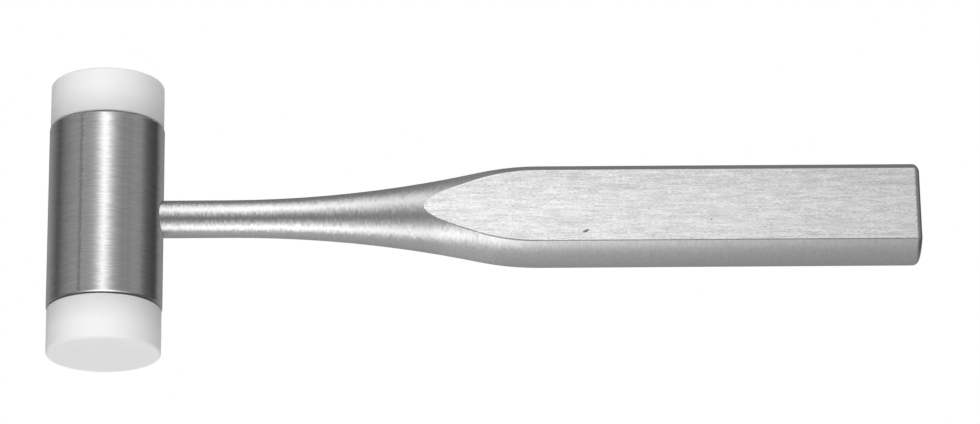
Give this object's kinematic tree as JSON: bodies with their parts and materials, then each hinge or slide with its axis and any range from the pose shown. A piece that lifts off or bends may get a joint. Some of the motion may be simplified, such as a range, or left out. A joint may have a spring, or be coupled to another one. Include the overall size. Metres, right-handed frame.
{
  "type": "surgical bone mallet with two screw-on nylon facings",
  "caption": "Small surgical mallet: round steel head with a white nylon facing screwed into each end, on a slim round shaft that swells into a grip with two flats.",
  "frame": {"origin": "centre of the front striking face, on the head's axis", "axes": "+X along the handle towards its butt end; +Y along the head's axis from the front striking face to the rear one, so the front face looks along -Y; +Z out of one of the grip's two flats, up when the mallet lies on its side"},
  "size_m": [0.2265, 0.074, 0.03],
  "materials": {
    "head_steel": "brushed round the head's axis",
    "handle_aluminium": "satin, with lengthwise brushing on the two flats",
    "facing_nylon": "white nylon, slightly translucent, soft sheen",
    "fastener_steel": "plain machined stainless steel"
  },
  "bodies": {
    "head_and_handle": {"head_body": "head_steel", "handle": "handle_aluminium", "handle_stud": "fastener_steel", "handle_cross_pin": "fastener_steel"},
    "front_washer": {"front_lock_washer": "fastener_steel"},
    "front_facing": {"front_facing": "facing_nylon", "front_facing_bolt": "fastener_steel"},
    "rear_washer": {"rear_lock_washer": "fastener_steel"},
    "rear_facing": {"rear_facing": "facing_nylon", "rear_facing_bolt": "fastener_steel"}
  },
  "joints": [
    {"name": "front_facing_travel", "type": "slide", "parent": "head_and_handle", "child": "front_washer", "axis": [0, -1, 0], "range_m": [0, 0.01125]},
    {"name": "front_facing_turn", "type": "hinge", "parent": "front_washer", "child": "front_facing", "pos_m": [0, 0, 0], "axis": [0, -1, 0], "range_deg": [0, 2700]},
    {"name": "rear_facing_travel", "type": "slide", "parent": "head_and_handle", "child": "rear_washer", "axis": [0, 1, 0], "range_m": [0, 0.01125]},
    {"name": "rear_facing_turn", "type": "hinge", "parent": "rear_washer", "child": "rear_facing", "pos_m": [0, 0.074, 0], "axis": [0, 1, 0], "range_deg": [0, 2700]}
  ],
  "couplings": [
    {"joint": "front_facing_travel", "follows": "front_facing_turn", "m_per_rad": 0.00023873},
    {"joint": "rear_facing_travel", "follows": "rear_facing_turn", "m_per_rad": 0.00023873}
  ]
}
